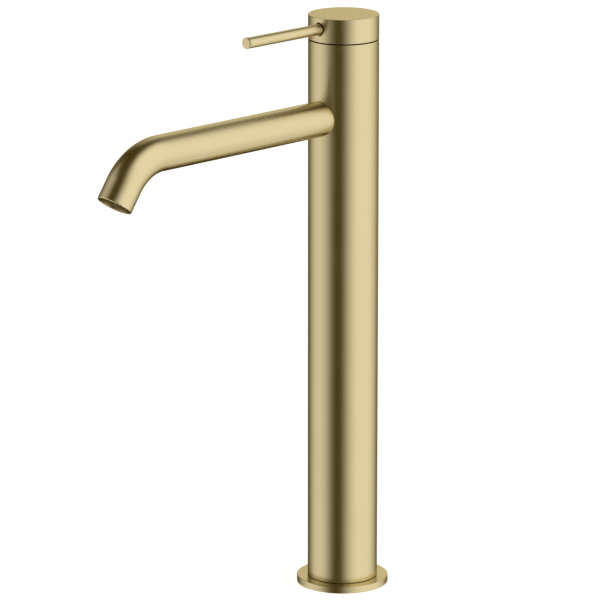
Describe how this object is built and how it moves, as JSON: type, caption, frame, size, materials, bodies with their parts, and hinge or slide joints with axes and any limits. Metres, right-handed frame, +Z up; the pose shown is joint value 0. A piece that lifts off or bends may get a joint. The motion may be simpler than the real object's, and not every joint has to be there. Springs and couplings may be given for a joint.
{
  "type": "bathroom mixer faucet",
  "caption": "Tall single-lever basin mixer: round column on a flange, tubular spout turned down at its end, tilting cap with a thin pin lever.",
  "frame": {"origin": "centre of the base's underside, on the deck and on the column's axis", "axes": "+Z up along the column, -Y forwards along the spout and the lever, +X to the cold side"},
  "size_m": [0.055, 0.2212, 0.349],
  "materials": {
    "brushed_gold": "satin, fine brushing, gold-coloured coating",
    "raw_brass": "machined",
    "polished_steel": "smooth",
    "black_rubber": "matt",
    "white_ceramic": "lapped",
    "white_plastic": "moulded",
    "bronze_plastic": "moulded"
  },
  "bodies": {
    "column": {"aerator_gasket": "black_rubber", "aerator_housing": "brushed_gold", "aerator_jet_insert": "bronze_plastic", "aerator_strainer": "polished_steel", "base_block": "raw_brass", "base_flange": "brushed_gold", "base_gasket": "black_rubber", "cartridge_base": "white_plastic", "cartridge_base_seals": "black_rubber", "cartridge_ring_nut": "raw_brass", "cartridge_shell": "white_plastic", "cold_supply_tube": "raw_brass", "column_tube": "brushed_gold", "connector_seals": "black_rubber", "disc_port_seals": "black_rubber", "dome_cover": "polished_steel", "fixed_ceramic_disc": "white_ceramic", "flow_regulator": "bronze_plastic", "hot_supply_tube": "raw_brass", "spout_connector": "raw_brass", "spout_grub_screw": "brushed_gold", "spout_tube": "brushed_gold", "supply_tube_seals": "black_rubber", "temperature_limit_ring": "white_plastic", "valve_housing": "raw_brass", "valve_housing_seal": "black_rubber"},
    "swivel": {"swivel_carrier": "white_plastic", "pivot_pin": "polished_steel", "carrier_seal": "black_rubber", "glide_washer": "white_plastic"},
    "disc": {"disc_coupler": "white_plastic", "moving_ceramic_disc": "white_ceramic"},
    "handle": {"stem": "raw_brass", "handle_cap": "brushed_gold", "lever_rod": "brushed_gold", "lever_end_button": "brushed_gold", "stem_grub_screw": "polished_steel"}
  },
  "joints": [
    {"name": "handle_turn", "type": "hinge", "parent": "column", "child": "swivel", "pos_m": [0, 0, 0.318], "axis": [0, 0, 1], "range_deg": [-45, 45]},
    {"name": "lever_lift", "type": "hinge", "parent": "swivel", "child": "handle", "pos_m": [0, 0, 0.318], "axis": [-1, 0, 0], "range_deg": [0, 22]},
    {"name": "disc_slide", "type": "slide", "parent": "swivel", "child": "disc", "axis": [0, -1, 0], "range_m": [0, 0.0031]}
  ],
  "couplings": [
    {"joint": "disc_slide", "follows": "lever_lift", "m_per_rad": 0.00795}
  ]
}
